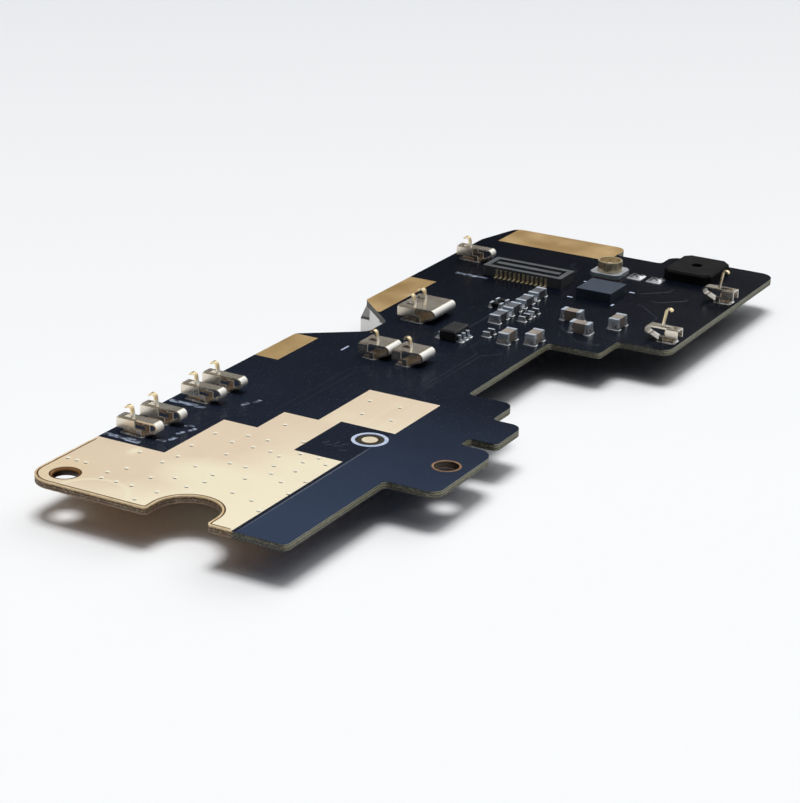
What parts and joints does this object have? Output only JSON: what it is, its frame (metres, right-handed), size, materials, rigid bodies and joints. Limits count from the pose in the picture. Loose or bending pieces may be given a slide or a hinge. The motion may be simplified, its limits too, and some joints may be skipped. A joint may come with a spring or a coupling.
{
  "type": "usb charging board",
  "caption": "Small phone circuit board with stepped outline, gold ground areas, spring contacts, a micro charging receptacle and surface-mounted parts.",
  "frame": {"origin": "axis of the corner screw hole, in the board's lower face", "axes": "+Y along the board's long side away from that corner's end, +X across the board, +Z out of the face with the spring contacts"},
  "size_m": [0.0253, 0.0662, 0.0054],
  "materials": {
    "fibreglass": "satin",
    "solder_mask": "satin",
    "gold_plate": "satin",
    "contact_spring": "polished",
    "connector_plastic": "matte",
    "connector_gold": "polished",
    "white_plastic": "matte",
    "tin_ends": "satin",
    "ceramic_tan": "matte",
    "ferrite_grey": "matte",
    "resistor_black": "gloss",
    "package_black": "matte",
    "nickel_steel": "satin",
    "boot_rubber": "matte",
    "gasket_cloth": "woven"
  },
  "bodies": {
    "root": {"board_laminate": "fibreglass", "mask_top": "solder_mask", "mask_bottom": "solder_mask", "ground_area_top": "gold_plate", "ground_area_bottom": "gold_plate", "edge_pad_near": "gold_plate", "edge_pad_far": "gold_plate", "far_edge_strip": "gold_plate", "edge_hole_rim": "gold_plate", "edge_hole_rim_bottom": "gold_plate", "test_pad": "gold_plate", "test_pads_bottom": "gold_plate", "contact_left_1": "contact_spring", "contact_left_2": "contact_spring", "contact_left_3": "contact_spring", "contact_left_4": "contact_spring", "contact_middle_1": "contact_spring", "contact_middle_2": "contact_spring", "contact_wide": "contact_spring", "contact_far_left": "contact_spring", "contact_right": "contact_spring", "contact_far_right": "contact_spring", "board_connector_housing": "connector_plastic", "board_connector_pins": "connector_gold", "coax_ring": "connector_gold", "coax_pin": "connector_gold", "usb_contacts": "connector_gold", "coax_base": "white_plastic", "capacitor_ends": "tin_ends", "filter_ends": "tin_ends", "resistor_ends": "tin_ends", "esd_leads": "tin_ends", "capacitor_bodies": "ceramic_tan", "filter_bodies": "ferrite_grey", "resistor_bodies": "resistor_black", "charge_controller": "package_black", "esd_package": "package_black", "usb_insulator": "package_black", "usb_shell": "nickel_steel", "microphone": "nickel_steel", "microphone_boot": "boot_rubber", "ground_gasket_near": "gasket_cloth", "ground_gasket_far": "gasket_cloth"}
  },
  "joints": []
}
